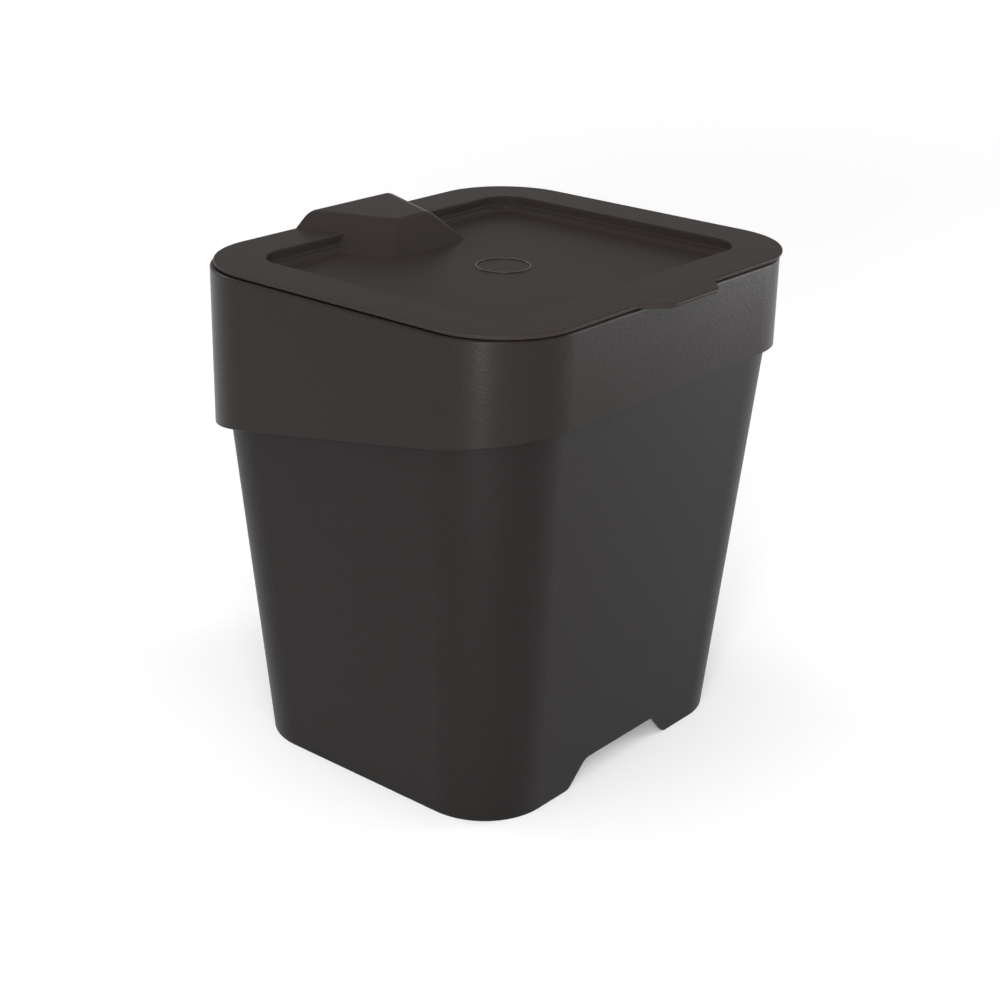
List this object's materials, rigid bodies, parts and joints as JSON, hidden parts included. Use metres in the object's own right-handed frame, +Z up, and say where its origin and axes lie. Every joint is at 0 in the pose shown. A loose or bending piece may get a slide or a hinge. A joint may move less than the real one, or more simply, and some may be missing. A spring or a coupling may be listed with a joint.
{
  "type": "sink trash bin",
  "caption": "Small tapered countertop bin with rounded corners, a slanted lift-off bag ring and a hinged lid with a sunk panel and thumb tab.",
  "frame": {"origin": "middle of the bounding box's footprint, on the plane the bin stands on", "axes": "+Z up, the thumb tab and the foot notch face -Y, the hinge is at +Y"},
  "size_m": [0.1756, 0.162, 0.1902],
  "materials": {
    "bucket": "fine matte moulded texture, charcoal",
    "bag_ring": "fine matte moulded texture, charcoal",
    "lid": "fine matte moulded texture, charcoal",
    "hinge_pin": "smooth moulded, charcoal"
  },
  "bodies": {
    "bucket": {"bucket": "bucket"},
    "bag_ring": {"bag_ring": "bag_ring", "hinge_pin": "hinge_pin"},
    "lid": {"lid": "lid"}
  },
  "joints": [
    {"name": "ring_lift", "type": "slide", "parent": "bucket", "child": "bag_ring", "axis": [0, 0, 1], "range_m": [0, 0.07]},
    {"name": "lid_hinge", "type": "hinge", "parent": "bag_ring", "child": "lid", "pos_m": [0, 0.0781, 0.1853], "axis": [-1, 0, 0], "range_deg": [0, 105]}
  ]
}
